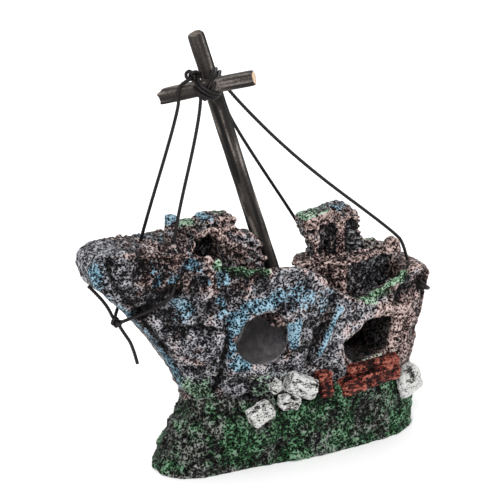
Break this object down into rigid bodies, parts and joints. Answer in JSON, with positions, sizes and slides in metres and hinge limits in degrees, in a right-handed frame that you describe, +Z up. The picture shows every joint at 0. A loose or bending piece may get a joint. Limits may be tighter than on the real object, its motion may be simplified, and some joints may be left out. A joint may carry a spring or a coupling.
{
  "type": "aquarium ornament",
  "caption": "Aquarium air ornament: a wrecked wooden fishing boat in painted resin on a mossy rock, with a stick mast and black cord rigging.",
  "frame": {"origin": "centre of the flat underside of the rock, on the surface that the ornament stands on", "axes": "+X from the bow to the stern, -Y the side with the round porthole and the wreckage, +Z up"},
  "size_m": [0.1247, 0.0534, 0.1491],
  "materials": {
    "painted_resin": "hand-painted cast resin, pitted, dry-brushed",
    "rock_resin": "hand-painted cast resin, pitted, mossy green",
    "white_resin": "off-white painted cast resin",
    "red_resin": "red-brown painted cast resin",
    "spar_wood": "stained, unvarnished twig",
    "waxed_cord": "black waxed twisted cord",
    "air_fitting": "moulded, smooth",
    "air_stone": "sintered, porous"
  },
  "bodies": {
    "root": {"hull_shell": "painted_resin", "main_deck": "painted_resin", "fore_deck": "painted_resin", "deck_bulkhead": "painted_resin", "fore_cabin_ruin": "painted_resin", "fore_cabin_wall": "painted_resin", "fore_cabin_pillar": "painted_resin", "aft_cabin": "painted_resin", "aft_cabin_roof": "painted_resin", "lookout_tower": "painted_resin", "tower_cap": "painted_resin", "stair_block": "painted_resin", "stern_bollard": "painted_resin", "rock_base": "rock_resin", "white_column_drum": "white_resin", "white_stone_large": "white_resin", "white_stone_small": "white_resin", "white_chip": "white_resin", "stern_boulder": "white_resin", "red_post_stub": "red_resin", "red_sill_plank": "red_resin", "red_beam": "red_resin", "mast": "spar_wood", "yard": "spar_wood", "near_forestay": "waxed_cord", "far_forestay": "waxed_cord", "backstay": "waxed_cord", "bow_knot": "waxed_cord", "lashing_rising_turns": "waxed_cord", "lashing_falling_turns": "waxed_cord", "lashing_knot": "waxed_cord", "air_inlet_nipple": "air_fitting", "air_tube": "air_fitting", "air_stone": "air_stone"}
  },
  "joints": []
}
